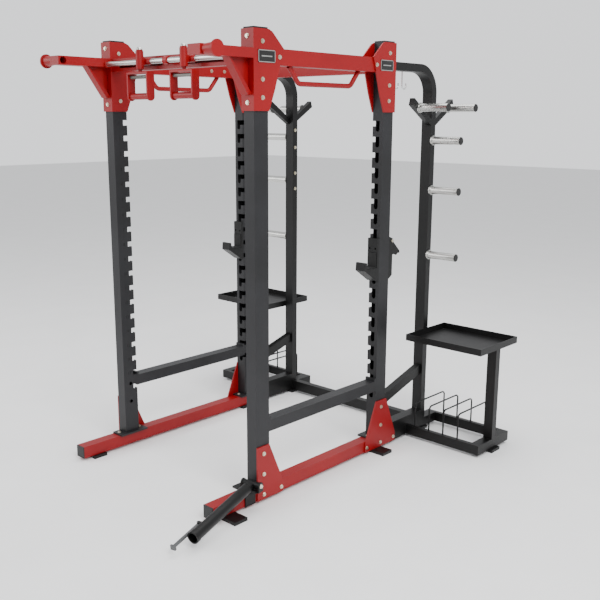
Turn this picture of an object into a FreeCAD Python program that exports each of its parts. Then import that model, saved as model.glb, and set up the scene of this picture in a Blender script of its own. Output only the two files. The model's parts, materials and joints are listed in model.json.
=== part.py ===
import FreeCAD, Part
import math
import os

# Power cage: four slotted posts on two floor runners, a bolted top frame with pull-up
# stations, lift-off hooks and safety bars, a landmine, and plate storage behind.
# Frame: +Z up from the floor, +X across the cage, +Y from its front to its back.
# Lengths in this file are counted back from the front face of the front posts, and
# origin_back moves them to the row's origin.

Vector = FreeCAD.Vector
Rotation = FreeCAD.Rotation

doc = FreeCAD.newDocument("power_cage")
sheet = doc.addObject("Spreadsheet::Sheet", "dims")

SIZES = [
    ("origin_back", 549.1474),
    # cage
    ("inside_width", 1088.0), ("cage_depth", 1116.0), ("total_height", 2438.0),
    ("post_width", 70.0), ("post_depth", 96.0), ("wall", 4.0),
    ("pad_thick", 10.0), ("foot_thick", 8.0), ("runner_height", 70.0), ("runner_front", 306.0),
    ("end_cap_thick", 6.0), ("flange_thick", 10.0), ("flange_reach", 50.0), ("flange_inset", 24.0),
    ("cap_thick", 8.0), ("plate_thick", 8.0), ("fit_gap", 0.3),
    # hook slots
    ("slot_count", 19.0), ("slot_pitch", 88.9), ("top_slot_drop", 446.0), ("notch_height", 30.0),
    ("slot_height", 60.0), ("slot_width", 28.0), ("notch_reach", 28.0),
    ("keyhole_low", 291.0), ("keyhole_pitch", 114.0), ("keyhole_radius", 11.0),
    # top frame
    ("gusset_height", 383.0), ("gusset_reach", 201.0), ("base_gusset_top", 320.0),
    ("base_gusset_reach", 150.0), ("base_gusset_shoulder", 75.0),
    ("beam_drop", 86.0), ("beam_height", 78.0), ("cross_height", 70.0), ("cross_depth", 60.0),
    ("cross_slot_near", 85.0), ("cross_slot_length", 370.0), ("cross_slot_height", 26.0),
    ("trap_tube_radius", 13.0), ("trap_inset", 185.0), ("trap_slope", 70.0), ("trap_drop", 82.0),
    ("trap_bend", 40.0),
    # front stations
    ("arm_height", 47.0), ("arm_drop", 91.0), ("arm_reach", 340.0), ("brace_drop", 260.0),
    ("brace_reach", 130.0),
    ("grip_root_radius", 23.0), ("grip_tip_radius", 29.0), ("grip_bore", 19.0), ("grip_length", 78.0),
    ("grip_disc_radius", 38.0), ("grip_disc_thick", 9.0), ("bar_radius", 14.0), ("bar_ahead", 32.0),
    ("bar_drop", 124.0),
    ("swivel_spacing", 364.0), ("housing_radius", 21.0), ("housing_height", 92.0),
    ("spindle_radius", 10.0), ("spindle_gap", 0.05), ("stirrup_width", 178.0), ("stirrup_height", 125.0),
    ("stirrup_drop", 16.0), ("strap_width", 48.0), ("strap_thick", 10.0), ("thin_grip_radius", 9.5),
    ("thick_grip_radius", 17.0),
    # hooks and safety bars
    ("hook_slot", 8.0), ("hook_plate_thick", 20.0), ("hook_reach", 128.0), ("hook_height", 253.0),
    ("hook_top_above", 53.0), ("lug_height", 25.0), ("lug_width", 25.0), ("lug_head_width", 44.0),
    ("lug_head_depth", 12.0), ("cradle_drop", 175.0), ("cradle_lip", 42.0), ("liner_thick", 6.0),
    ("latch_depth", 34.0), ("lever_reach", 96.0), ("knob_radius", 10.0),
    ("safety_slot", 17.0), ("safety_width", 70.0), ("safety_height", 64.0), ("safety_drop", 26.0),
    ("safety_end_rise", 18.0), ("safety_end", 14.0),
    # landmine
    ("landmine_out", 50.0), ("landmine_ahead", 50.0), ("landmine_plate", 10.0), ("yoke_radius", 38.0), ("yoke_ear", 21.0),
    ("yoke_width", 116.0), ("yoke_pin_height", 32.0), ("barrel_radius", 20.0), ("pivot_radius", 8.0),
    ("sleeve_radius", 29.0), ("sleeve_bore", 26.0), ("sleeve_length", 510.0), ("sleeve_tilt", 9.0),
    ("sleeve_yaw", 12.0), ("lever_length", 205.0), ("lever_back", 105.0),
    # storage
    ("storage_back", 1534.0), ("storage_tube", 46.0), ("storage_bend", 170.0),
    ("storage_top_drop", 101.0), ("storage_beam_height", 120.0), ("rail_spacing", 330.0),
    ("rail_height", 60.0), ("rail_width", 30.0), ("leg_gap", 471.0), ("shelf_height", 655.0),
    ("shelf_front", 215.0), ("shelf_width", 536.0), ("shelf_lip", 40.0), ("shelf_sheet", 4.0),
    ("arm_foot_height", 1972.0), ("v_arm_reach", 205.0), ("v_arm_rise", 160.0), ("v_arm_width", 40.0),
    ("peg_radius", 24.0), ("peg_length", 200.0), ("peg_flange_radius", 40.0), ("peg_offset", 150.0),
    ("divider_radius", 5.0), ("divider_height", 160.0), ("divider_pitch", 105.0),
    ("hook_wire_radius", 4.0), ("hook_drop", 100.0),
    # fasteners
    ("bolt_radius", 9.0), ("bolt_head", 7.0),
]
for row, (alias, value) in enumerate(SIZES, 1):
    sheet.set(f"A{row}", alias)
    sheet.set(f"B{row}", str(value))
    sheet.setAlias(f"B{row}", alias)
doc.recompute()


def size(alias):
    """Value of one driving dimension."""
    return float(sheet.get(alias))


class Dim:
    """An expression over the sheet's aliases that also knows its present value."""

    def __init__(self, text, value):
        self.text, self.value = text, value

    def _join(self, other, sign, turn):
        other = as_dim(other)
        return Dim(f"({self.text} {sign} {other.text})", turn(self.value, other.value))

    def __add__(self, other): return self._join(other, "+", lambda a, b: a + b)
    def __sub__(self, other): return self._join(other, "-", lambda a, b: a - b)
    def __mul__(self, other): return self._join(other, "*", lambda a, b: a * b)
    def __truediv__(self, other): return self._join(other, "/", lambda a, b: a / b)
    def __radd__(self, other): return as_dim(other) + self
    def __rsub__(self, other): return as_dim(other) - self
    def __rmul__(self, other): return as_dim(other) * self
    def __neg__(self): return as_dim(0) - self


def as_dim(value):
    """Wrap a plain number so that it can join an expression."""
    return value if isinstance(value, Dim) else Dim(repr(float(value)), float(value))


D = {alias: Dim(f"dims.{alias}", size(alias)) for alias, _ in SIZES}

# Places that several pieces share.
INNER = D["inside_width"] / 2
OUTER = INNER + D["post_width"]
POST_MID = INNER + D["post_width"] / 2
RUNNER_LOW = D["pad_thick"] + D["foot_thick"]
RUNNER_TOP = RUNNER_LOW + D["runner_height"]
POST_FOOT = RUNNER_TOP + D["flange_thick"]
POST_TOP = D["total_height"] - D["cap_thick"]
BACK_POST = D["cage_depth"] - D["post_depth"]
BEAM_TOP = POST_TOP - D["beam_drop"]
CROSS_TOP = BEAM_TOP - D["plate_thick"]
STORAGE_MID = D["storage_back"]
STORAGE_FRONT = STORAGE_MID - D["storage_tube"] / 2
LEG_X = OUTER + D["leg_gap"]


def back(value):
    """Row Y of a length counted back from the front posts' front face."""
    return as_dim(value) - D["origin_back"]


def slot_level(index):
    """Height of the middle of a slot's side notch, counted from the top slot."""
    return POST_TOP - D["top_slot_drop"] - as_dim(index) * D["slot_pitch"]


# ---------------------------------------------------------------- building helpers

def bind(item, prop, value):
    item.setExpression(prop, as_dim(value).text)


def place(item, x, y, z, rotation=None):
    """Bind an object's position; y is a length counted back from the front posts."""
    if rotation is not None:
        item.Placement = FreeCAD.Placement(Vector(), rotation)
    bind(item, "Placement.Base.x", x)
    bind(item, "Placement.Base.y", back(y))
    bind(item, "Placement.Base.z", z)
    return item


def box(x, y, z, length, width, height):
    """Block from its low corner."""
    item = doc.addObject("Part::Box", "block")
    bind(item, "Length", length)
    bind(item, "Width", width)
    bind(item, "Height", height)
    return place(item, x, y, z)


TURN = {"X": Rotation(Vector(0, 1, 0), 90), "Y": Rotation(Vector(1, 0, 0), -90), "Z": Rotation()}


def rod(axis, x, y, z, radius, length):
    """Cylinder that runs from a point along +X, +Y or +Z."""
    item = doc.addObject("Part::Cylinder", "rod")
    bind(item, "Radius", radius)
    bind(item, "Height", length)
    return place(item, x, y, z, TURN[axis])


def cone(axis, x, y, z, low_radius, high_radius, length):
    item = doc.addObject("Part::Cone", "cone")
    bind(item, "Radius1", low_radius)
    bind(item, "Radius2", high_radius)
    bind(item, "Height", length)
    return place(item, x, y, z, TURN[axis])


def ball(x, y, z, radius):
    item = doc.addObject("Part::Sphere", "ball")
    bind(item, "Radius", radius)
    return place(item, x, y, z)


def fuse(*items):
    item = doc.addObject("Part::MultiFuse", "union")
    item.Shapes = list(items)
    item.Refine = True
    return item


def cut(base, *tools):
    item = doc.addObject("Part::Cut", "difference")
    item.Base = base
    item.Tool = tools[0] if len(tools) == 1 else fuse(*tools)
    item.Refine = True
    return item


def gather(*items):
    """Separate solids that share one node."""
    item = doc.addObject("Part::Compound", "gathered")
    item.Links = list(items)
    return item


def mirrored_x(source):
    """The same piece on the other side of the cage."""
    item = doc.addObject("Part::Mirroring", "mirrored")
    item.Source = source
    item.Normal = Vector(1, 0, 0)
    return item


def mirrored_back(source):
    """The same piece at the other end of the cage."""
    item = doc.addObject("Part::Mirroring", "mirrored")
    item.Source = source
    item.Normal = Vector(0, 1, 0)
    bind(item, "Base.y", back(D["cage_depth"] / 2))
    return item


def slab(outline, thickness, x):
    """Flat plate whose (back, height) outline stands across X, from x to x + thickness."""
    body = doc.addObject("PartDesign::Body", "plate")
    sketch = body.newObject("Sketcher::SketchObject", "outline")
    plane = [item for item in body.Origin.OriginFeatures if item.Role == "YZ_Plane"][0]
    sketch.AttachmentSupport = (plane, [""])
    sketch.MapMode = "FlatFace"
    corners = [(back(y), as_dim(z)) for y, z in outline]
    points = [Vector(y.value, z.value, 0) for y, z in corners]
    count = len(points)
    for index in range(count):
        sketch.addGeometry(Part.LineSegment(points[index], points[(index + 1) % count]), False)
    import Sketcher
    for index in range(count):
        sketch.addConstraint(Sketcher.Constraint("Coincident", index, 2, (index + 1) % count, 1))
    for index, (y, z) in enumerate(corners):
        for kind, value in (("DistanceX", y), ("DistanceY", z)):
            number = sketch.addConstraint(Sketcher.Constraint(kind, -1, 1, index, 1, value.value))
            sketch.setExpression(f"Constraints[{number}]", value.text)
    pad = body.newObject("PartDesign::Pad", "pad")
    pad.Profile = sketch
    bind(pad, "Length", thickness)
    body.Tip = pad
    bind(body, "Placement.Base.x", x)
    return body


def square_tube(x, y, z, length, width, height, wall, run):
    """Rectangular tube, open at both ends of its run along X, Y or Z."""
    outside = box(x, y, z, length, width, height)
    inset = {axis: as_dim(0) if axis == run else wall for axis in "XYZ"}
    inside = box(
        x + inset["X"], y + inset["Y"], z + inset["Z"],
        length - 2 * inset["X"], width - 2 * inset["Y"], height - 2 * inset["Z"],
    )
    return cut(outside, inside)


def wire_sweep(points, radii, radius, hollow=0.0):
    """Round bar along straight runs joined by tangent arcs, from sheet values."""
    edges = []
    start = points[0]
    for index in range(1, len(points) - 1):
        before, corner, after = points[index - 1], points[index], points[index + 1]
        to_before = (before - corner).normalize()
        to_after = (after - corner).normalize()
        half = to_before.getAngle(to_after) / 2
        reach = radii[index - 1] / math.tan(half)
        middle = (to_before + to_after).normalize()
        centre = corner + middle * (radii[index - 1] / math.sin(half))
        arc_start = corner + to_before * reach
        arc_end = corner + to_after * reach
        arc_mid = centre - middle * radii[index - 1]
        edges.append(Part.LineSegment(start, arc_start).toShape())
        edges.append(Part.Arc(arc_start, arc_mid, arc_end).toShape())
        start = arc_end
    edges.append(Part.LineSegment(start, points[-1]).toShape())
    path = Part.Wire(edges)
    along = (points[1] - points[0]).normalize()

    def swept(size_now):
        ring = Part.Wire([Part.makeCircle(size_now, points[0], along)])
        return path.makePipeShell([ring], True, True)

    shape = swept(radius)
    if hollow:
        shape = shape.cut(swept(hollow))
    item = doc.addObject("Part::Feature", "bent_bar")
    item.Shape = shape
    return item


def bolt(axis, x, y, z, sign=1):
    """Round bolt head that stands on a face, away from it along axis times sign."""
    offset = {name: as_dim(0) for name in "XYZ"}
    if sign < 0:
        offset[axis] = D["bolt_head"]
    return rod(axis, x - offset["X"], y - offset["Y"], z - offset["Z"], D["bolt_radius"], D["bolt_head"])


NODES = {}


def node(name, item):
    """Name a finished piece; the name is its file's name."""
    item.Label = name
    NODES[name] = item
    return item


def pair(name, item):
    """A right-hand piece and its mirror image on the left."""
    node(f"{name}_right", item)
    node(f"{name}_left", mirrored_x(item))


# ---------------------------------------------------------------- cage

def runners():
    length = D["runner_front"] + D["cage_depth"]
    tube = square_tube(
        INNER, -D["runner_front"], RUNNER_LOW, D["post_width"], length, D["runner_height"], D["wall"], "Y")
    pair("side_runner", tube)


def upright(front):
    """Slotted post; its slots face the middle of the cage."""
    y = as_dim(0) if front else BACK_POST
    height = POST_TOP - POST_FOOT
    tube = square_tube(INNER, y, POST_FOOT, D["post_width"], D["post_depth"], height, D["wall"], "Z")
    slot_y = y + D["post_depth"] - 2 * D["wall"] if front else y - D["wall"]
    notch_y = y + D["post_depth"] - D["notch_reach"] if front else y - D["wall"]
    through = 3 * D["wall"]
    half = D["slot_width"] / 2
    tools = []
    for index in range(int(size("slot_count"))):
        level = slot_level(index)
        notch_low = level - D["notch_height"] / 2
        low = level + D["notch_height"] / 2 - D["slot_height"]
        tools.append(box(INNER - D["wall"], notch_y, notch_low,
                         POST_MID - INNER + D["wall"] + half, D["notch_reach"] + D["wall"],
                         D["notch_height"]))
        tools.append(box(POST_MID - half, slot_y, low + half, D["slot_width"], through,
                         D["slot_height"] - D["notch_height"]))
        tools.append(rod("Y", POST_MID, slot_y, low + half, half, through))
    for index in range(2):
        level = D["keyhole_low"] + index * D["keyhole_pitch"]
        tools.append(rod("X", INNER - D["wall"], y + D["post_depth"] / 2, level,
                         D["keyhole_radius"], through))
    return cut(tube, *tools)


def uprights():
    for word, front in (("front", True), ("rear", False)):
        item = upright(front)
        node(f"upright_{word}_right", item)
        node(f"upright_{word}_left", mirrored_x(item))
    caps = [box(INNER, y, POST_TOP, D["post_width"], D["post_depth"], D["cap_thick"])
            for y in (as_dim(0), BACK_POST)]
    caps.append(box(INNER, -D["runner_front"] - D["end_cap_thick"], RUNNER_LOW, D["post_width"],
                    D["end_cap_thick"], D["runner_height"]))
    node("end_caps", gather(*caps, *[mirrored_x(cap) for cap in caps]))


def flanges():
    plates = []
    inner = INNER - D["flange_inset"]
    width = OUTER - inner
    front = box(inner, -D["flange_reach"], RUNNER_TOP, width,
                D["post_depth"] + 2 * D["flange_reach"], D["flange_thick"])
    rear = box(inner, BACK_POST - D["flange_reach"], RUNNER_TOP, width,
               D["post_depth"] + D["flange_reach"], D["flange_thick"])
    for plate in (front, rear):
        plates += [plate, mirrored_x(plate)]
    node("base_flanges", gather(*plates))


def top_gusset():
    """Plate folded round the front post's top: two cheeks and a front web."""
    thick = D["plate_thick"]
    depth = D["post_depth"]
    reach = D["gusset_reach"]
    low = POST_TOP - D["gusset_height"]
    outline = [
        (-thick, POST_TOP), (depth, POST_TOP), (depth + 24, POST_TOP - 10), (reach, BEAM_TOP),
        (reach - 27, BEAM_TOP - D["beam_height"]), (depth + 42, low + 103), (depth + 1, low), (-thick, low),
    ]
    outer = slab(outline, thick, OUTER)
    inner = slab(outline, thick, INNER - thick)
    web = box(INNER, -thick, low, D["post_width"], thick, D["gusset_height"])
    return fuse(outer, inner, web)


def gussets():
    front = top_gusset()
    rear = mirrored_back(front)
    for word, item in (("front", front), ("rear", rear)):
        node(f"top_gusset_{word}_right", item)
        node(f"top_gusset_{word}_left", mirrored_x(item))
    top = D["base_gusset_top"]
    reach = D["base_gusset_reach"]
    shoulder = D["base_gusset_shoulder"]
    middle = D["post_depth"] / 2
    front = slab([(0, top), (middle + 42, top), (middle + reach, shoulder), (middle + reach, RUNNER_LOW),
                  (0, RUNNER_LOW)], D["plate_thick"], OUTER)
    middle = BACK_POST + D["post_depth"] / 2
    rear = slab([(middle - 50, top), (middle + 50, top), (middle + reach, shoulder),
                 (middle + reach, RUNNER_LOW), (middle - reach, RUNNER_LOW), (middle - reach, shoulder)],
                D["plate_thick"], OUTER)
    for word, item in (("front", front), ("rear", rear)):
        node(f"base_gusset_{word}_right", item)
        node(f"base_gusset_{word}_left", mirrored_x(item))


def beams():
    span = BACK_POST - D["post_depth"]
    low = BEAM_TOP - D["beam_height"]
    pair("side_beam", square_tube(INNER, D["post_depth"], low, D["post_width"], span,
                                  D["beam_height"], D["wall"], "Y"))
    reach = INNER - D["plate_thick"]
    cross_low = CROSS_TOP - D["cross_height"]
    front = square_tube(-reach, as_dim(0), cross_low, 2 * reach, D["cross_depth"],
                        D["cross_height"], D["wall"], "X")
    half = D["cross_slot_height"] / 2
    middle = cross_low + D["cross_height"] / 2 - 4
    slots = []
    for sign in (-1, 1):
        near = sign * D["cross_slot_near"]
        far = sign * (D["cross_slot_near"] + D["cross_slot_length"])
        low_x = near if sign > 0 else far
        slots.append(box(low_x, -D["wall"], middle - half, D["cross_slot_length"], 3 * D["wall"],
                         D["cross_slot_height"]))
        slots += [rod("Y", x, -D["wall"], middle, half, 3 * D["wall"]) for x in (near, far)]
    bar_z = POST_TOP - D["bar_drop"]
    ring = D["bar_radius"] + 6
    support = fuse(box(as_dim(-16), -D["bar_ahead"], bar_z - 12, 32, D["bar_ahead"], 24),
                   rod("X", as_dim(-16), -D["bar_ahead"], bar_z, ring, 32))
    bar_hole = rod("X", as_dim(-20), -D["bar_ahead"], bar_z, D["bar_radius"] + D["spindle_gap"], 40)
    node("front_crossmember", fuse(cut(front, *slots), cut(support, bar_hole)))
    rear_y = D["cage_depth"] - D["cross_depth"]
    node("rear_crossmember", square_tube(-reach, rear_y, cross_low, 2 * reach, D["cross_depth"],
                                         D["cross_height"], D["wall"], "X"))


def side_pullup_bars():
    """Low bent tube that hangs under each side beam."""
    top = (BEAM_TOP - D["beam_height"]).value
    low = top - size("trap_drop")
    start = size("post_depth") + size("trap_inset")
    end = size("cage_depth") - start
    slope = size("trap_slope")
    middle = POST_MID.value
    corners = [(start, top), (start + slope, low), (end - slope, low), (end, top)]
    points = [Vector(middle, y - size("origin_back"), z) for y, z in corners]
    bend = size("trap_bend")
    tube = wire_sweep(points, [bend, bend], size("trap_tube_radius"))
    trim = box(INNER, D["post_depth"], BEAM_TOP - D["beam_height"], D["post_width"],
               BACK_POST - D["post_depth"], D["beam_height"])
    pair("side_pullup_bar", cut(tube, trim))


# ---------------------------------------------------------------- front stations

def front_arms():
    """Box arm ahead of each front gusset, with a ribbed brace under it."""
    thick = D["plate_thick"]
    inner = INNER - thick
    width = OUTER - inner + thick
    arm_low = POST_TOP - D["arm_drop"] - D["arm_height"]
    length = D["arm_reach"] - thick
    arm = box(inner, -D["arm_reach"], arm_low, width, length, D["arm_height"])
    hollow = box(inner + D["wall"], -D["arm_reach"] + D["wall"], arm_low + D["wall"],
                 width - 2 * D["wall"], length, D["arm_height"] - 2 * D["wall"])
    grip_y = -D["arm_reach"] + D["grip_tip_radius"]
    grip_z = arm_low + D["arm_height"] / 2
    bore = rod("X", inner - thick, grip_y, grip_z, D["grip_root_radius"] - 1, width + 2 * thick)
    brace_low = POST_TOP - D["brace_drop"] - D["arm_height"]
    brace_reach = D["brace_reach"] + thick
    outline = [(-thick, arm_low), (-brace_reach, arm_low), (-brace_reach, arm_low - thick),
               (-thick - 12, brace_low), (-thick, brace_low)]
    cheek = slab(outline, thick, POST_MID - thick / 2)
    flat = slab([(-brace_reach, arm_low), (-brace_reach - 10, arm_low), (-thick - 22, brace_low),
                 (-thick, brace_low), (-thick, brace_low + 12)],
                D["post_width"] - 20, INNER + 10)
    bar_z = POST_TOP - D["bar_drop"]
    boss = cut(rod("X", inner - 12, -D["bar_ahead"], bar_z, D["bar_radius"] + 6, 12),
               rod("X", inner - 14, -D["bar_ahead"], bar_z, D["bar_radius"] + D["spindle_gap"], 14))
    arm = fuse(cut(arm, hollow, bore), boss)
    brace = fuse(cheek, flat)
    brace = cut(brace, box(inner, -thick, RUNNER_LOW, width, thick * 2, POST_TOP))
    pair("front_arm", fuse(arm, brace))

    root = inner
    tip = OUTER + thick + D["grip_length"]
    socket = D["grip_root_radius"] - 1 - D["fit_gap"]
    tube = fuse(rod("X", root, grip_y, grip_z, socket, OUTER + thick - root),
                cone("X", OUTER + thick, grip_y, grip_z, D["grip_root_radius"], D["grip_tip_radius"],
                     D["grip_length"]),
                rod("X", tip, grip_y, grip_z, D["grip_disc_radius"], D["grip_disc_thick"]))
    hole = rod("X", root - 1, grip_y, grip_z, D["grip_bore"], tip - root)
    pair("cross_handle", cut(tube, hole))


def pullup_bar():
    reach = INNER - D["plate_thick"]
    node("pullup_bar", rod("X", -reach, -D["bar_ahead"], POST_TOP - D["bar_drop"], D["bar_radius"], 2 * reach))


def swivels():
    """Upright housing clamped on the pull-up bar, and the stirrup that turns in it."""
    x = D["swivel_spacing"] / 2
    bar_z = POST_TOP - D["bar_drop"]
    y = -D["bar_ahead"] - D["bar_radius"] - D["housing_radius"] - 2
    low = bar_z - D["housing_height"] / 2 + 6
    tall = rod("Z", x, y, low, D["housing_radius"], D["housing_height"])
    sleeve_radius = D["bar_radius"] + 6
    sleeve_half = D["housing_radius"] + 15
    sleeve = rod("X", x - sleeve_half, -D["bar_ahead"], bar_z, sleeve_radius, 2 * sleeve_half)
    tapers = [
        cone("X", x + sleeve_half, -D["bar_ahead"], bar_z, sleeve_radius, D["bar_radius"] + 3, 16),
        cone("X", x - sleeve_half - 16, -D["bar_ahead"], bar_z, D["bar_radius"] + 3, sleeve_radius, 16),
    ]
    bridge = box(x - D["housing_radius"] + 3, y, bar_z - sleeve_radius + 3, 2 * D["housing_radius"] - 6,
                 -D["bar_ahead"] - y, 2 * sleeve_radius - 6)
    bar_hole = rod("X", x - 2 * sleeve_half, -D["bar_ahead"], bar_z, D["bar_radius"] + D["spindle_gap"],
                   4 * sleeve_half)
    spin_hole = rod("Z", x, y, low - 1, D["spindle_radius"] + D["spindle_gap"], D["housing_height"] + 2)
    pair("swivel_housing", cut(fuse(tall, sleeve, bridge, *tapers), bar_hole, spin_hole))

    top = low - D["stirrup_drop"]
    strap = D["strap_thick"]
    half = D["stirrup_width"] / 2
    leg_low = top - D["stirrup_height"]
    deep = D["strap_width"]
    spindle = rod("Z", x, y, top, D["spindle_radius"], D["stirrup_drop"] + D["housing_height"] + 6)
    collar = rod("Z", x, y, low - 6, D["spindle_radius"] + 4, 5.5)
    nut = rod("Z", x, y, low + D["housing_height"] + 0.5, D["housing_radius"] - 3, 6)
    dome = cut(ball(x, y, low + D["housing_height"] + 6, D["housing_radius"] - 5),
               box(x - 40, y - 40, low - 60, 80, 80, D["housing_height"] + 61))
    bridge = box(x - half, y - deep / 2, top - strap, 2 * half, deep, strap)
    legs = [box(x + side, y - deep / 2, leg_low, strap, deep, D["stirrup_height"])
            for side in (-half, half - strap)]
    legs += [rod("X", x + side, y, leg_low, deep / 2, strap) for side in (-half, half - strap)]
    bottom = rod("X", x - half, y, leg_low, D["thick_grip_radius"], 2 * half)
    pair("d_handle", fuse(spindle, collar, nut, dome, bridge, bottom, *legs))
    grip = rod("X", x - half + strap, y, top - strap - D["thin_grip_radius"] - 5, D["thin_grip_radius"],
               2 * half - 2 * strap)
    pair("d_handle_grip", grip)


# ---------------------------------------------------------------- hooks and safety bars

def lugs(y_face, inward, slots, half_shift=0.0):
    """Headed lugs that sit at the bottom of a post's slots; inward is the way into the post."""
    gap = D["fit_gap"]
    items = []
    for index in slots:
        low = slot_level(index) + D["notch_height"] / 2 - D["slot_height"] + gap
        half = D["lug_width"] / 2
        neck_depth = D["wall"] + 2 * gap
        neck_y = y_face if inward > 0 else y_face - neck_depth
        head_y = y_face + neck_depth if inward > 0 else y_face - neck_depth - D["lug_head_depth"]
        items.append(fuse(rod("Y", POST_MID, neck_y, low + half + gap, half, neck_depth),
                          box(POST_MID - half, neck_y, low + half + gap, D["lug_width"], neck_depth,
                              D["lug_height"] / 2 - gap),
                          box(POST_MID - half, head_y, low + 1, D["lug_head_width"] / 2 + half,
                              D["lug_head_depth"], D["lug_height"] - 2)))
    return items


def j_hooks():
    """Bar hook on the cage side of each rear post, lifted up its slots to take it off."""
    face = BACK_POST - D["fit_gap"]
    plate_y = face - D["hook_plate_thick"]
    top = slot_level(D["hook_slot"]) + D["hook_top_above"]
    low = top - D["hook_height"]
    cradle = top - D["cradle_drop"]
    tip = face - D["hook_reach"]
    lip_top = cradle + D["cradle_lip"]
    outline = [
        (face, top), (plate_y, top), (plate_y, cradle), (tip + 22, cradle), (tip + 14, lip_top),
        (tip, lip_top), (tip - 4, cradle - 4), (plate_y, low), (face, low),
    ]
    solid = slab(outline, D["post_width"], INNER)
    holes = [rod("Y", POST_MID + side, plate_y - 1, top - 60, 6, D["hook_plate_thick"] + 2)
             for side in (-21, 21)]
    slots = (D["hook_slot"].value, D["hook_slot"].value + 1)
    pair("j_hook", fuse(cut(solid, *holes), *lugs(face, 1, slots)))
    thick = D["liner_thick"]
    seat = plate_y - tip - 22
    liner = fuse(box(INNER + 4, tip + 22, cradle, D["post_width"] - 8, seat, thick),
                 box(INNER + 4, plate_y - thick, cradle, D["post_width"] - 8, thick, 90))
    pair("j_hook_liner", liner)


def latches():
    """Sprung lever with a round knob, on a bracket behind each rear post."""
    face = D["cage_depth"]
    top = slot_level(D["hook_slot"]) + D["hook_top_above"]
    low = top - D["hook_height"]
    depth = D["latch_depth"]
    web = box(INNER, face, low, D["post_width"], 6, D["hook_height"])
    cheeks = [slab([(face + 5, top), (face + depth, top - 12), (face + depth, low + 20), (face + 5, low)],
                   6, x) for x in (INNER, OUTER - 6)]
    pin = rod("X", INNER + 5, face + depth - 12, top - 26, 5, D["post_width"] - 10)
    pair("latch_bracket", fuse(web, pin, *cheeks))
    reach = D["lever_reach"]
    hub_y = face + depth - 12
    width = D["post_width"] - 12 - 6
    plate = slab([(hub_y - 4, top - 16), (hub_y + 12, top - 16), (hub_y + reach, top - 96),
                  (hub_y + reach, top - 108), (hub_y + 26, top - 112), (hub_y - 4, top - 120)],
                 width, INNER + 9)
    bore = rod("X", INNER, hub_y, top - 26, 5.05, D["post_width"])
    knob = ball(POST_MID, hub_y + reach - 4, top - 108 - D["knob_radius"] + 3, D["knob_radius"])
    pair("latch_lever", fuse(cut(plate, bore), knob))


def safety_bars():
    """Catch bar between the front and rear post, hung in one slot at each end."""
    gap = D["fit_gap"]
    front = D["post_depth"] + gap
    rear = BACK_POST - gap
    low = slot_level(D["safety_slot"]) - D["slot_height"] - D["safety_drop"]
    x = POST_MID - D["safety_width"] / 2
    end = D["safety_end"]
    beam = square_tube(x, front + end, low, D["safety_width"], rear - front - 2 * end, D["safety_height"],
                       D["wall"], "Y")
    end_height = D["safety_height"] + D["safety_end_rise"]
    ends = [box(x, y, low, D["safety_width"], end, end_height) for y in (front, rear - end)]
    slots = (D["safety_slot"].value,)
    pair("safety_bar", fuse(beam, *ends, *lugs(front, -1, slots), *lugs(rear, 1, slots)))


# ---------------------------------------------------------------- landmine

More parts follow.
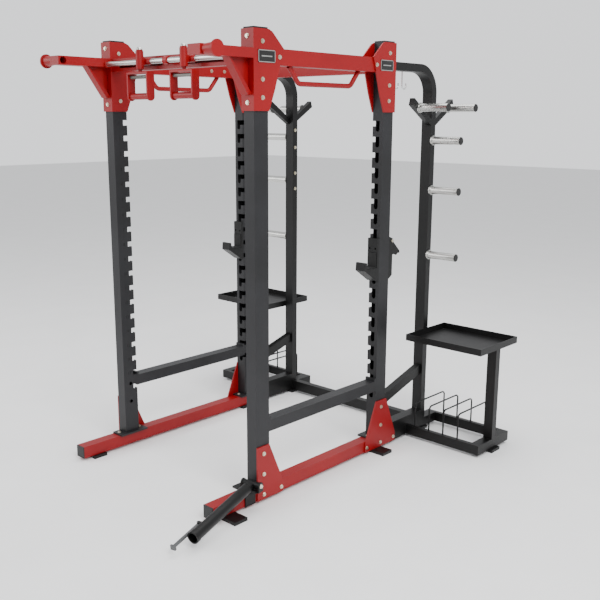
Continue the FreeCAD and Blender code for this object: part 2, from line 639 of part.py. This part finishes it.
def landmine():
    """Swivelling sleeve for a bar end, on a plate bolted to the right front flange."""
    x = POST_MID + D["landmine_out"]
    y = -D["landmine_ahead"]
    plate_low = POST_FOOT
    plate_top = plate_low + D["landmine_plate"]
    radius = D["yoke_radius"]
    inner = INNER - D["flange_inset"]
    plate = fuse(box(inner, y - radius, plate_low, x - inner, 2 * radius, D["landmine_plate"]),
                 rod("Z", x, y, plate_low, radius, D["landmine_plate"]),
                 box(OUTER, y - radius, RUNNER_LOW, D["plate_thick"], 2 * radius - 4, plate_low - RUNNER_LOW + 1),
                 rod("Z", x, y, plate_top - 1, D["pivot_radius"], 9))
    node("landmine_base", plate)

    disc_low = plate_top + D["fit_gap"]
    pin_z = disc_low + D["yoke_pin_height"]
    half = D["yoke_width"] / 2
    ear = D["plate_thick"]
    disc = cut(rod("Z", x, y, disc_low, radius, 8),
               rod("Z", x, y, disc_low - 1, D["pivot_radius"] + D["spindle_gap"], 10))
    ear_radius = D["yoke_ear"]
    floor = cut(box(x - half, y - ear_radius, disc_low, 2 * half, 2 * ear_radius, 8),
                rod("Z", x, y, disc_low - 1, D["pivot_radius"] + D["spindle_gap"], 10))
    ears = []
    for side in (-half, half - ear):
        ears.append(box(x + side, y - ear_radius, disc_low, ear, 2 * ear_radius, D["yoke_pin_height"]))
        ears.append(rod("X", x + side, y, pin_z, ear_radius, ear))
    pin = rod("X", x - half - 6, y, pin_z, D["pivot_radius"], 2 * half + 12)
    yoke = fuse(disc, floor, pin, *ears)
    yaw = Rotation(Vector(0, 0, 1), size("sleeve_yaw"))
    centre = Vector(x.value, back(y).value, pin_z.value)

    def turned(item, rotation):
        """Turn a finished piece about the landmine's pin centre."""
        holder = doc.addObject("Part::Compound", "turned")
        holder.Links = [item]
        holder.Placement = FreeCAD.Placement(Vector(), rotation, centre)
        return holder

    node("landmine_yoke", turned(yoke, yaw))

    gap = D["fit_gap"]
    barrel_half = half - ear - gap
    barrel = rod("X", x - barrel_half, y, pin_z, D["barrel_radius"] - 2, 2 * barrel_half)
    length = D["sleeve_length"]
    start = D["yoke_radius"] + 8
    tube = rod("Y", x, y - length, pin_z, D["sleeve_radius"], length - start)
    collar = rod("Y", x, y - length, pin_z, D["sleeve_radius"] + 3, 26)
    web = box(x - D["barrel_radius"], y - start - 4, pin_z - 14, 2 * D["barrel_radius"], start + 4, 28)
    bore = rod("Y", x, y - length - 1, pin_z, D["sleeve_bore"], length - start - 20)
    pin_hole = rod("X", x - half, y, pin_z, D["pivot_radius"] + D["spindle_gap"], 2 * half)
    hinge_x = x - D["sleeve_radius"] - 14
    hinge_y = y - length + D["lever_back"]
    ears = [fuse(box(hinge_x, hinge_y - 9, pin_z + low, 20, 18, 6), rod("Z", hinge_x, hinge_y, pin_z + low, 9, 6))
            for low in (-13, 7)]
    hinge = rod("Z", hinge_x, hinge_y, pin_z - 13, 5, 26)
    sleeve = cut(fuse(tube, collar, barrel, web, hinge, *ears), bore, pin_hole)
    tilt = Rotation(Vector(1, 0, 0), size("sleeve_tilt"))
    both = yaw.multiply(tilt)
    node("landmine_tube", turned(sleeve, both))

    reach = D["lever_length"]
    eye = rod("Z", hinge_x, hinge_y, pin_z - 6.5, 10, 13)
    arm = box(hinge_x - 6, hinge_y - reach, pin_z - 6.5, 12, reach, 13)
    lug = box(hinge_x - 14, hinge_y - reach, pin_z - 14, 28, 10, 24)
    eye_hole = rod("Z", hinge_x, hinge_y, pin_z - 8, 5 + D["spindle_gap"], 16)
    node("landmine_lever", turned(cut(fuse(eye, arm, lug), eye_hole), both))


# ---------------------------------------------------------------- storage

def storage_frames():
    """Bent tube that leaves the rear gusset, turns down and stands as a storage upright."""
    top = POST_TOP - D["storage_top_drop"]
    tube = D["storage_tube"]
    start = D["cage_depth"] + D["plate_thick"]
    rear = STORAGE_MID + tube / 2
    foot = RUNNER_LOW

    def bent(inset):
        bend = D["storage_bend"]
        run_y = rear - bend
        run = box(INNER + inset, start, top - tube + inset, D["post_width"] - 2 * inset, run_y - start,
                  tube - 2 * inset)
        post = box(INNER + inset, STORAGE_FRONT + inset, foot, D["post_width"] - 2 * inset, tube - 2 * inset,
                   top - bend - foot)
        ring_low, ring_high = bend - tube + inset, bend - inset
        disc = cut(rod("X", INNER + inset, run_y, top - bend, ring_high, D["post_width"] - 2 * inset),
                   rod("X", INNER, run_y, top - bend, ring_low, D["post_width"]))
        quarter = doc.addObject("Part::Common", "quarter")
        quarter.Base = disc
        quarter.Tool = box(INNER, run_y, top - bend, D["post_width"], bend, bend)
        return fuse(run, quarter, post)

    pair("storage_frame", cut(bent(as_dim(0)), bent(D["wall"])))


def v_arms():
    """Two plates rising from each storage upright, which carry the upper pegs."""
    low = D["arm_foot_height"]
    rise, reach, width = D["v_arm_rise"], D["v_arm_reach"], D["v_arm_width"]
    half = D["storage_tube"] / 2
    plates = []
    for sign in (-1, 1):
        near = STORAGE_MID + sign * half
        outline = [(near, low), (near, low + width), (STORAGE_MID + sign * reach, low + rise),
                   (STORAGE_MID + sign * (reach + 12), low + rise - width)]
        plate = slab(outline, D["post_width"] / 2, OUTER - D["post_width"] / 2)
        plates += [plate, mirrored_x(plate)]
    node("storage_v_arms", gather(*plates))


PEG_LEVELS = (1882.0, 1578.0, 1172.0)


def plate_pegs():
    pegs = []
    places = [(STORAGE_MID, level) for level in PEG_LEVELS]
    rise = D["arm_foot_height"] + D["v_arm_rise"] * D["peg_offset"] / D["v_arm_reach"] - 12
    places += [(STORAGE_MID + sign * D["peg_offset"], rise) for sign in (-1, 1)]
    for y, z in places:
        peg = fuse(rod("X", OUTER, y, z, D["peg_flange_radius"] / 2 + 10, D["plate_thick"]),
                   rod("X", OUTER, y, z, D["peg_radius"], D["peg_length"]))
        pegs += [peg, mirrored_x(peg)]
    node("plate_pegs", gather(*pegs))


def storage_base():
    """Side beams back to the storage uprights, the rails plates stand on, and end legs."""
    pieces = []
    start = D["cage_depth"]
    beam = square_tube(INNER, start, RUNNER_LOW, D["post_width"], STORAGE_FRONT - start,
                       D["storage_beam_height"], D["wall"], "Y")
    pieces.append(beam)
    leg_x = LEG_X
    for sign in (-1, 1):
        middle = STORAGE_MID + sign * D["rail_spacing"] / 2
        pieces.append(square_tube(OUTER, middle - D["rail_width"] / 2, RUNNER_LOW, leg_x - OUTER,
                                  D["rail_width"], D["rail_height"], D["wall"], "X"))
    leg_top = D["shelf_height"] - D["shelf_sheet"]
    pieces.append(square_tube(leg_x, STORAGE_FRONT, RUNNER_LOW, D["post_width"] - 10, D["storage_tube"],
                              leg_top - RUNNER_LOW, D["wall"], "Z"))
    cross_y = D["rail_spacing"] + D["rail_width"]
    low = RUNNER_LOW
    for sign, y in ((-1, STORAGE_MID - cross_y / 2), (1, STORAGE_MID + D["storage_tube"] / 2)):
        pieces.append(box(leg_x, y, low, D["post_width"] - 10, cross_y / 2 - D["storage_tube"] / 2,
                          D["rail_height"]))
    stub = cross_y / 2 - D["storage_tube"] / 2
    pieces.append(box(INNER, STORAGE_MID + D["storage_tube"] / 2, low, D["post_width"], stub, D["rail_height"]))
    brace = slab([(start, 268.0), (start, 332.0), (STORAGE_FRONT, 450.0), (STORAGE_FRONT, 386.0)],
                 D["post_width"] - 30, INNER + 15)
    pieces.append(brace)
    sides = []
    for piece in pieces:
        sides += [piece, mirrored_x(piece)]
    reach = INNER
    tie = square_tube(-reach, STORAGE_FRONT, RUNNER_LOW, 2 * reach, D["storage_tube"], D["runner_height"],
                      D["wall"], "X")
    node("storage_base", gather(tie, *sides))


def shelves():
    """Sheet tray for kettlebells, between the storage upright and the end leg."""
    sheet_thick = D["shelf_sheet"]
    low = D["shelf_height"] - sheet_thick
    front = STORAGE_MID - D["shelf_front"]
    depth = 2 * D["shelf_front"]
    width = D["shelf_width"]
    tray = box(OUTER, front, low, width, depth, D["shelf_lip"])
    hollow = box(OUTER + sheet_thick, front + sheet_thick, low + sheet_thick, width - 2 * sheet_thick,
                 depth - 2 * sheet_thick, D["shelf_lip"])
    pair("storage_shelf", cut(tray, hollow))


def dividers():
    """Bent wire loops across the rails, which keep standing plates apart."""
    loops = []
    low = RUNNER_LOW.value + size("rail_height")
    high = low + size("divider_height")
    half = size("rail_spacing") / 2
    middle = size("storage_back") - size("origin_back")
    for index in range(4):
        x = OUTER.value + size("divider_pitch") * (index + 0.55)
        points = [Vector(x, middle - half, low), Vector(x, middle - half, high),
                  Vector(x, middle + half, high), Vector(x, middle + half, low)]
        loop = wire_sweep(points, [25.0, 25.0], size("divider_radius"))
        loops += [loop, mirrored_x(loop)]
    node("plate_dividers", gather(*loops))


def bar_hooks():
    """Wire hooks that hang from each storage tube."""
    hooks = []
    top = (POST_TOP - D["storage_top_drop"] - D["storage_tube"]).value
    low = top - size("hook_drop")
    front = size("cage_depth") - size("origin_back") + size("plate_thick")
    for index in range(2):
        y = front + 45 + 75 * index
        x = POST_MID.value
        points = [Vector(x, y, top), Vector(x, y, low), Vector(x, y + 38, low), Vector(x, y + 38, low + 32)]
        hook = wire_sweep(points, [16.0, 16.0], size("hook_wire_radius"))
        hooks += [hook, mirrored_x(hook)]
    node("bar_hooks", gather(*hooks))


# ---------------------------------------------------------------- feet, plates and bolts

def feet():
    inner = INNER - 18
    width = OUTER + 94 - inner
    plates, pads = [], []
    leg_x = LEG_X
    places = [(inner, as_dim(-246), width, as_dim(88)),
              (inner, BACK_POST - 35, width, as_dim(90)),
              (INNER - 20, STORAGE_FRONT - 25, D["post_width"] + 30, D["storage_tube"] + 50),
              (leg_x - 20, STORAGE_FRONT - 25, D["post_width"] + 30, D["storage_tube"] + 50)]
    for x, y, length, depth in places:
        plate = box(x, y, D["pad_thick"], length, depth, D["foot_thick"])
        pad = box(x, y, as_dim(0), length, depth, D["pad_thick"])
        plates += [plate, mirrored_x(plate)]
        pads += [pad, mirrored_x(pad)]
    node("foot_plates", gather(*plates))
    node("rubber_feet", gather(*pads))


def nameplates():
    """Blank plates on the outer cheeks of the top gussets."""
    low = POST_TOP - 155
    front = box(OUTER + D["plate_thick"], as_dim(22), low, as_dim(2), as_dim(115), as_dim(58))
    rear = mirrored_back(front)
    node("nameplates", gather(front, mirrored_x(front), rear, mirrored_x(rear)))


def bolts():
    heads = []
    face = OUTER + D["plate_thick"]
    mid = D["post_depth"] / 2
    top_spots = [(mid + 4, 58), (mid + 4, 234), (mid + 4, 320), (170, 126)]
    for y, drop in top_spots:
        level = POST_TOP - drop
        heads.append(bolt("X", face, as_dim(y), level))
        heads.append(bolt("X", face, D["cage_depth"] - y, level))
    for drop in (35, 344):
        heads.append(bolt("Y", POST_MID, -D["plate_thick"], POST_TOP - drop, -1))
    for y, drop in ((mid + 3, 62), (mid + 3, 324)):
        heads.append(bolt("X", INNER - D["plate_thick"], as_dim(y), POST_TOP - drop, -1))
    rear_mid = BACK_POST + D["post_depth"] / 2
    spots = [(mid, 277), (mid, 162), (mid, 46), (mid + 133, 46),
             (rear_mid, 277), (rear_mid, 160), (rear_mid, 46), (rear_mid + 133, 46), (rear_mid - 133, 46)]
    heads += [bolt("X", face, y, as_dim(z)) for y, z in spots]
    heads += [bolt("Z", POST_MID, as_dim(y), POST_FOOT) for y in (123, BACK_POST - 27)]
    for ahead in (262, 153):
        heads.append(bolt("X", INNER, BACK_POST - ahead, BEAM_TOP - 42, -1))
    for drop in (0, 120, 300, 410):
        heads.append(bolt("X", INNER, STORAGE_MID, as_dim(1930.0) - drop, -1))
    sides = [bolt("Z", -POST_MID, as_dim(-27), POST_FOOT)]
    for head in heads:
        sides += [head, mirrored_x(head)]
    node("frame_bolts", gather(*sides))


for build in (runners, uprights, flanges, gussets, beams, side_pullup_bars, front_arms, pullup_bar,
              swivels, j_hooks, latches, safety_bars, landmine, storage_frames, v_arms, plate_pegs,
              storage_base, shelves, dividers, bar_hooks, feet, nameplates, bolts):
    build()
doc.recompute()

for item in doc.Objects:
    bad = [state for state in item.State if state in ("Invalid", "Error")]
    if bad:
        raise RuntimeError(f"{item.Name} ({item.Label}) is {bad}")
for name, item in NODES.items():
    shape = item.Shape
    if shape.isNull() or not shape.isValid() or not shape.Solids:
        raise RuntimeError(f"{name} has no valid solid")

os.makedirs("parts", exist_ok=True)
for name, item in NODES.items():
    item.Shape.exportStep(f"parts/{name}.step")
print(len(NODES), "pieces written")
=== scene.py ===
import json
import math

import bmesh
import bpy
from mathutils import Euler, Matrix, Vector


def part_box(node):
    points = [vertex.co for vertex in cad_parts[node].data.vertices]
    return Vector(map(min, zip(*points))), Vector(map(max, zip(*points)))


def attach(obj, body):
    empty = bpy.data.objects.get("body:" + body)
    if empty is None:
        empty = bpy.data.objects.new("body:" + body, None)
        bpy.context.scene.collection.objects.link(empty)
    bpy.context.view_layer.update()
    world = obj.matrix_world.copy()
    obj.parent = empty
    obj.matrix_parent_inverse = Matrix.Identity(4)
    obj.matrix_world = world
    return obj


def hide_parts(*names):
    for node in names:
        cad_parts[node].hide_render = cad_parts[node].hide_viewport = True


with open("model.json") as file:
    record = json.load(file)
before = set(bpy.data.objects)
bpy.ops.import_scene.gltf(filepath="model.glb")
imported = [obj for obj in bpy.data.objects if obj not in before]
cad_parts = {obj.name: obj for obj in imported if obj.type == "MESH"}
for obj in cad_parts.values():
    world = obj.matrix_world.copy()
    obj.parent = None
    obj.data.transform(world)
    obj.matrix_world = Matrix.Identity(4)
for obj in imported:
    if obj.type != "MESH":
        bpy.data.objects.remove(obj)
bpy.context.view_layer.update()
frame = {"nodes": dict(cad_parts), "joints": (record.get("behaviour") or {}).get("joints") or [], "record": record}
nodes = frame["nodes"]
slots = {part["node"]: part["material_slot"] for part in frame["record"]["subparts"]}

# sizes in metres
SOFT_EDGE = 0.0012
RING_STEPS = 40
RING_EDGE = 0.0006
OUTWARD_BOLTS = 0.6         # a bolt further from the middle than this faces outwards
SLOT_PITCH = 0.0889
SLOT_COUNT = 17
NUMBER_DROP = 0.446         # from a post's top to one pitch above the first number
NUMBER_HEIGHT = 0.026
NUMBER_FORWARD = 0.006
PAINT_DEPTH = 0.0002
DOME_SEAT = 0.016           # from the top of a stirrup down to its dome
LATCH_PIN_REACH = 0.035
LATCH_PIN_BACK = 0.094
LATCH_PIN_DOWN = 0.010
YOKE_EAR = 0.021            # radius of the yoke's ears, so the depth of its pin below their top
YOKE_BOLT_REACH = 0.0582
RIM_WIDTH = 0.004
RIM_DEPTH = 0.0012

# profiles of turned pieces: distance along the axis, radius
CAP_PROFILE = ((0.0, 0.0235), (0.003, 0.0235), (0.005, 0.020))
DOME_PROFILE = ((0.0, 0.0165), (0.004, 0.0160), (0.008, 0.0144),
                (0.012, 0.0112), (0.015, 0.0062), (0.0165, 0.0008))
PIN_PROFILE = ((0.0, 0.009), (0.004, 0.009), (0.005, 0.007))
BOLT_PROFILE = ((0.0, 0.0125), (0.002, 0.0125), (0.0025, 0.0095), (0.0075, 0.009), (0.0085, 0.007))


# ------------------------------------------------------------------ materials

def surface(name, low, high, metal, rough, grain, bump, stretch=(1, 1, 1), coat=0.0, knurl=0.0):
    """Procedural finish: colour drifts between low and high, roughness and relief follow fine noise."""
    material = bpy.data.materials.new(name)
    material.use_nodes = True
    tree = material.node_tree
    shader = tree.nodes["Principled BSDF"]
    shader.inputs["Metallic"].default_value = metal
    shader.inputs["Coat Weight"].default_value = coat
    shader.inputs["Coat Roughness"].default_value = 0.25
    shader.inputs["Specular IOR Level"].default_value = 0.5 if metal > 0.5 else 0.28
    place = tree.nodes.new("ShaderNodeTexCoord")
    mapping = tree.nodes.new("ShaderNodeMapping")
    mapping.inputs["Scale"].default_value = stretch
    tree.links.new(place.outputs["Object"], mapping.inputs["Vector"])

    def noise(scale, detail):
        node = tree.nodes.new("ShaderNodeTexNoise")
        node.inputs["Scale"].default_value = scale
        node.inputs["Detail"].default_value = detail
        tree.links.new(mapping.outputs["Vector"], node.inputs["Vector"])
        return node

    broad = noise(3.0, 5.0)
    ramp = tree.nodes.new("ShaderNodeValToRGB")
    ramp.color_ramp.elements[0].position = 0.35
    ramp.color_ramp.elements[1].position = 0.65
    ramp.color_ramp.elements[0].color = (*low, 1)
    ramp.color_ramp.elements[1].color = (*high, 1)
    tree.links.new(broad.outputs["Fac"], ramp.inputs["Fac"])
    tree.links.new(ramp.outputs["Color"], shader.inputs["Base Color"])
    fine = noise(grain, 3.0)
    spread = tree.nodes.new("ShaderNodeMapRange")
    spread.inputs["To Min"].default_value = rough - 0.06
    spread.inputs["To Max"].default_value = rough + 0.08
    tree.links.new(fine.outputs["Fac"], spread.inputs["Value"])
    tree.links.new(spread.outputs["Result"], shader.inputs["Roughness"])
    relief = tree.nodes.new("ShaderNodeBump")
    relief.inputs["Strength"].default_value = bump
    relief.inputs["Distance"].default_value = 0.0006
    tree.links.new(fine.outputs["Fac"], relief.inputs["Height"])
    last = relief
    if knurl:
        for turn in (45, -45):
            tilt = tree.nodes.new("ShaderNodeMapping")
            tilt.inputs["Rotation"].default_value = (math.radians(turn), 0, math.radians(turn))
            tree.links.new(place.outputs["Object"], tilt.inputs["Vector"])
            wave = tree.nodes.new("ShaderNodeTexWave")
            wave.inputs["Scale"].default_value = 130.0
            tree.links.new(tilt.outputs["Vector"], wave.inputs["Vector"])
            groove = tree.nodes.new("ShaderNodeBump")
            groove.inputs["Strength"].default_value = knurl
            groove.inputs["Distance"].default_value = 0.001
            tree.links.new(wave.outputs["Fac"], groove.inputs["Height"])
            tree.links.new(last.outputs["Normal"], groove.inputs["Normal"])
            last = groove
    tree.links.new(last.outputs["Normal"], shader.inputs["Normal"])
    return material


FINISHES = {
    "red_powder_coat": surface(
        "red_coat", (0.22, 0.001, 0.003), (0.26, 0.002, 0.004), 0.0, 0.42, 900, 0.25, coat=0.08),
    "charcoal_powder_coat": surface(
        "charcoal_coat", (0.014, 0.014, 0.015), (0.020, 0.020, 0.022), 0.1, 0.42, 1100, 0.35),
    "black_powder_coat": surface(
        "black_coat", (0.003, 0.003, 0.003), (0.005, 0.005, 0.005), 0.0, 0.40, 1000, 0.3),
    "grey_powder_coat": surface(
        "grey_coat", (0.085, 0.088, 0.09), (0.11, 0.113, 0.115), 0.2, 0.42, 1000, 0.3),
    "zinc_plate": surface(
        "zinc", (0.60, 0.56, 0.44), (0.74, 0.70, 0.58), 1.0, 0.30, 400, 0.1),
    "bright_steel": surface(
        "bright_steel", (0.48, 0.48, 0.46), (0.58, 0.58, 0.56), 1.0, 0.28, 300, 0.15, (1, 8, 8)),
    "knurled_steel": surface(
        "knurled_steel", (0.16, 0.17, 0.15), (0.24, 0.25, 0.23), 0.9, 0.45, 300, 0.2, knurl=0.7),
    "chrome": surface(
        "chrome_plate", (0.74, 0.74, 0.75), (0.82, 0.82, 0.82), 1.0, 0.12, 200, 0.03),
    "rubber": surface(
        "rubber", (0.010, 0.010, 0.010), (0.018, 0.018, 0.018), 0.0, 0.72, 700, 0.5),
    "black_plastic": surface(
        "black_plastic", (0.012, 0.012, 0.012), (0.020, 0.020, 0.020), 0.0, 0.5, 900, 0.4),
}
PAINT = surface("number_paint", (0.002, 0.002, 0.002), (0.004, 0.004, 0.004), 0.0, 0.6, 600, 0.1)

for name, item in nodes.items():
    item.data.materials.clear()
    item.data.materials.append(FINISHES["black_plastic" if name == "nameplates" else slots[name]])
    edge = item.modifiers.new("soft_edges", "BEVEL")
    edge.width = SOFT_EDGE
    edge.segments = 2
    edge.limit_method = "ANGLE"
    edge.angle_limit = math.radians(50)
    edge.harden_normals = True


# ------------------------------------------------------------------ fasteners

def islands(mesh):
    """Lowest and highest corner of each separate solid in a mesh."""
    work = bmesh.new()
    work.from_mesh(mesh)
    bmesh.ops.remove_doubles(work, verts=work.verts, dist=1e-6)
    left = set(work.verts)
    found = []
    while left:
        todo = [left.pop()]
        seen = list(todo)
        while todo:
            for link in todo.pop().link_edges:
                for vert in link.verts:
                    if vert in left:
                        left.remove(vert)
                        todo.append(vert)
                        seen.append(vert)
        spots = [vert.co.copy() for vert in seen]
        low = Vector(min(spot[axis] for spot in spots) for axis in range(3))
        high = Vector(max(spot[axis] for spot in spots) for axis in range(3))
        found.append((low, high))
    work.free()
    return sorted(found, key=lambda pair: tuple(round(value, 4) for value in pair[0]))


def finish_piece(item, slot_name, body="frame"):
    """Give a visual piece its finish and tie it to its body."""
    item.data.materials.clear()
    item.data.materials.append(FINISHES.get(slot_name, PAINT))
    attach(item, body)
    return item


def hex_bolts():
    """Hexagon heads on washers, one for each fastener of the frame."""
    work = bmesh.new()
    for low, high in islands(nodes["frame_bolts"].data):
        centre = (low + high) / 2
        spans = high - low
        axis = min(range(3), key=lambda index: spans[index])
        radius = max(spans) / 2
        height = spans[axis]
        along = Vector([1.0 if index == axis else 0.0 for index in range(3)])
        outward = along
        if axis == 0:
            outer = abs(centre.x) > OUTWARD_BOLTS
            outward = along * math.copysign(1, centre.x) * (1 if outer else -1)
        elif axis == 1:
            outward = -along
        base = centre - outward * height / 2
        turn = outward.to_track_quat("Z", "Y").to_matrix().to_4x4()
        washer = (28, radius * 1.3, height * 0.3, 0.15)
        head = (6, radius, height * 0.7, 0.65)
        for sides, size_now, thick, shift in (washer, head):
            spot = Matrix.Translation(base + outward * height * shift) @ turn
            bmesh.ops.create_cone(work, cap_ends=True, segments=sides, radius1=size_now,
                                  radius2=size_now * 0.96, depth=thick, matrix=spot)
    mesh = bpy.data.meshes.new("hex_bolts")
    work.to_mesh(mesh)
    work.free()
    item = bpy.data.objects.new("hex_bolts", mesh)
    bpy.context.collection.objects.link(item)
    finish_piece(item, "zinc_plate")
    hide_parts("frame_bolts")


hex_bolts()


# ------------------------------------------------------------------ hook numbers

def hook_numbers():
    """Painted numbers beside the hook slots, on the inner faces of the front posts."""
    for side, node in ((-1, "upright_front_left"), (1, "upright_front_right")):
        low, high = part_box(node)
        inner = max(low.x, high.x) if side < 0 else min(low.x, high.x)
        top_slot = high.z - NUMBER_DROP
        word = "left" if side < 0 else "right"
        for index in range(SLOT_COUNT):
            curve = bpy.data.curves.new(f"number_{index}", "FONT")
            curve.body = str(index + 1)
            curve.size = NUMBER_HEIGHT
            curve.extrude = PAINT_DEPTH
            curve.align_x = "CENTER"
            curve.align_y = "CENTER"
            item = bpy.data.objects.new(f"hook_number_{word}_{index + 1}", curve)
            bpy.context.collection.objects.link(item)
            item.rotation_euler = Euler((math.radians(90), 0, math.radians(90 if side < 0 else -90)))
            item.location = (inner - side * PAINT_DEPTH, (low.y + high.y) / 2 - NUMBER_FORWARD,
                             top_slot - SLOT_PITCH * (index + 1))
            bpy.context.view_layer.update()
            finish_piece(item, "painted_number")


hook_numbers()


# ------------------------------------------------------------------ small parts

def turned_ring(name, centre, axis, profile, slot_name, body="frame"):
    """Lathed piece round an axis: profile is (distance along the axis, radius) pairs."""
    spin = Vector(axis).to_track_quat("Z", "Y").to_matrix().to_4x4()
    place = Matrix.Translation(centre) @ spin
    points, faces = [], []
    for along, radius in profile:
        for step in range(RING_STEPS):
            angle = 2 * math.pi * step / RING_STEPS
            points.append(place @ Vector((radius * math.cos(angle), radius * math.sin(angle), along)))
    for ring in range(len(profile) - 1):
        below = ring * RING_STEPS
        above = below + RING_STEPS
        for step in range(RING_STEPS):
            after = (step + 1) % RING_STEPS
            faces.append((below + step, below + after, above + after, above + step))
    last_ring = (len(profile) - 1) * RING_STEPS
    faces.append(tuple(range(RING_STEPS))[::-1])
    faces.append(tuple(last_ring + step for step in range(RING_STEPS)))
    mesh = bpy.data.meshes.new(name)
    mesh.from_pydata(points, [], faces)
    for face in mesh.polygons:
        face.use_smooth = len(face.vertices) == 4
    item = bpy.data.objects.new(name, mesh)
    bpy.context.collection.objects.link(item)
    edge = item.modifiers.new("soft_edges", "BEVEL")
    edge.width = RING_EDGE
    edge.limit_method = "ANGLE"
    return finish_piece(item, slot_name, body)


for index, (low, high) in enumerate(islands(nodes["plate_pegs"].data), 1):
    side = math.copysign(1, low.x)
    tip = high.x if side > 0 else low.x
    centre = Vector((tip, (low.y + high.y) / 2, (low.z + high.z) / 2))
    turned_ring(f"peg_end_cap_{index}", centre, (side, 0, 0), CAP_PROFILE, "black_plastic")

for side in ("left", "right"):
    low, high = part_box(f"d_handle_{side}")
    middle = (low + high) / 2
    turned_ring(f"swivel_dome_{side}", (middle.x, middle.y, high.z - DOME_SEAT), (0, 0, 1), DOME_PROFILE,
                "bright_steel", f"swivel_handle_{side}")
    low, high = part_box(f"latch_lever_{side}")
    middle = (low + high) / 2
    for word, sign in (("head", 1), ("tail", -1)):
        spot = (middle.x + sign * LATCH_PIN_REACH, high.y - LATCH_PIN_BACK, high.z - LATCH_PIN_DOWN)
        turned_ring(f"latch_pin_{word}_{side}", spot, (sign, 0, 0), PIN_PROFILE, "zinc_plate")


low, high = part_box("landmine_yoke")
yoke_middle = (low + high) / 2
pin_centre = Vector((yoke_middle.x, yoke_middle.y, high.z - YOKE_EAR))
pin_axis = next(Vector(joint["axis"]) for joint in frame["joints"] if joint["name"] == "landmine_tilt")
for word, sign in (("inner", 1), ("outer", -1)):
    turned_ring(f"yoke_bolt_{word}", pin_centre + pin_axis * sign * YOKE_BOLT_REACH, pin_axis * sign,
                BOLT_PROFILE, "zinc_plate", "landmine_yoke")


def plate_frames():
    """Raised rim and pressed blank field on each nameplate."""
    for index, (low, high) in enumerate(islands(nodes["nameplates"].data), 1):
        side = math.copysign(1, low.x)
        face = high.x if side > 0 else low.x
        work = bmesh.new()
        span_y = high.y - low.y
        span_z = high.z - low.z
        middle = (low + high) / 2
        for shift_y, shift_z, long_y, long_z in (
            (0, (span_z - RIM_WIDTH) / 2, span_y, RIM_WIDTH),
            (0, -(span_z - RIM_WIDTH) / 2, span_y, RIM_WIDTH),
            ((span_y - RIM_WIDTH) / 2, 0, RIM_WIDTH, span_z),
            (-(span_y - RIM_WIDTH) / 2, 0, RIM_WIDTH, span_z),
            (0, 0, span_y * 0.62, span_z * 0.10),
        ):
            spot = Matrix.Translation((face + side * 0.0004, middle.y + shift_y, middle.z + shift_z))
            scale = Matrix.Diagonal((RIM_DEPTH, long_y, long_z, 1))
            bmesh.ops.create_cube(work, size=1.0, matrix=spot @ scale)
        mesh = bpy.data.meshes.new(f"nameplate_rim_{index}")
        work.to_mesh(mesh)
        work.free()
        item = bpy.data.objects.new(f"nameplate_rim_{index}", mesh)
        bpy.context.collection.objects.link(item)
        finish_piece(item, "bright_steel")


plate_frames()


# ------------------------------------------------------------------ floor, light and camera

floor_mesh = bpy.data.meshes.new("studio_floor")
floor_mesh.from_pydata([(-30, -30, 0), (30, -30, 0), (30, 30, 0), (-30, 30, 0)], [], [(0, 1, 2, 3)])
floor = bpy.data.objects.new("studio_floor", floor_mesh)
floor.data.materials.append(surface("pale_floor", (0.93, 0.93, 0.93), (0.95, 0.95, 0.95), 0.0, 0.8, 40, 0.02))
bpy.context.collection.objects.link(floor)

world = bpy.data.worlds.new("studio")
world.use_nodes = True
backdrop = world.node_tree.nodes["Background"]
backdrop.inputs["Color"].default_value = (0.97, 0.98, 1.0, 1)
rays = world.node_tree.nodes.new("ShaderNodeLightPath")
glow = world.node_tree.nodes.new("ShaderNodeMapRange")
glow.inputs["To Min"].default_value = 0.95
glow.inputs["To Max"].default_value = 1.35
world.node_tree.links.new(rays.outputs["Is Camera Ray"], glow.inputs["Value"])
world.node_tree.links.new(glow.outputs["Result"], backdrop.inputs["Strength"])
bpy.context.scene.world = world


def lamp(name, place, aim, size_now, power):
    light = bpy.data.lights.new(name, "AREA")
    light.size = size_now
    light.energy = power
    item = bpy.data.objects.new(name, light)
    item.location = place
    item.rotation_euler = (Vector(aim) - Vector(place)).to_track_quat("-Z", "Y").to_euler()
    bpy.context.collection.objects.link(item)


lamp("key_light", (5.5, -2.0, 5.5), (0, 0, 1.2), 3.0, 380)
lamp("fill_light", (-4.5, -5.0, 4.0), (0, 0, 1.1), 4.0, 220)
lamp("top_light", (0, 1.0, 6.0), (0, 0, 0), 4.0, 200)

camera_data = bpy.data.cameras.new("camera")
camera_data.lens = 50.06
camera_data.sensor_width = 36.0
camera_data.shift_x = 0.0117
camera_data.shift_y = 0.0036
camera = bpy.data.objects.new("camera", camera_data)
bpy.context.collection.objects.link(camera)
turn = Matrix.Rotation(math.radians(43.086), 4, "Z") @ Matrix.Rotation(math.radians(90 - 12.445), 4, "X")
camera.matrix_world = (Matrix.Translation((3.5619, -3.4225, 2.0142)) @ turn
                       @ Matrix.Rotation(math.radians(0.172), 4, "Z"))
bpy.context.scene.camera = camera
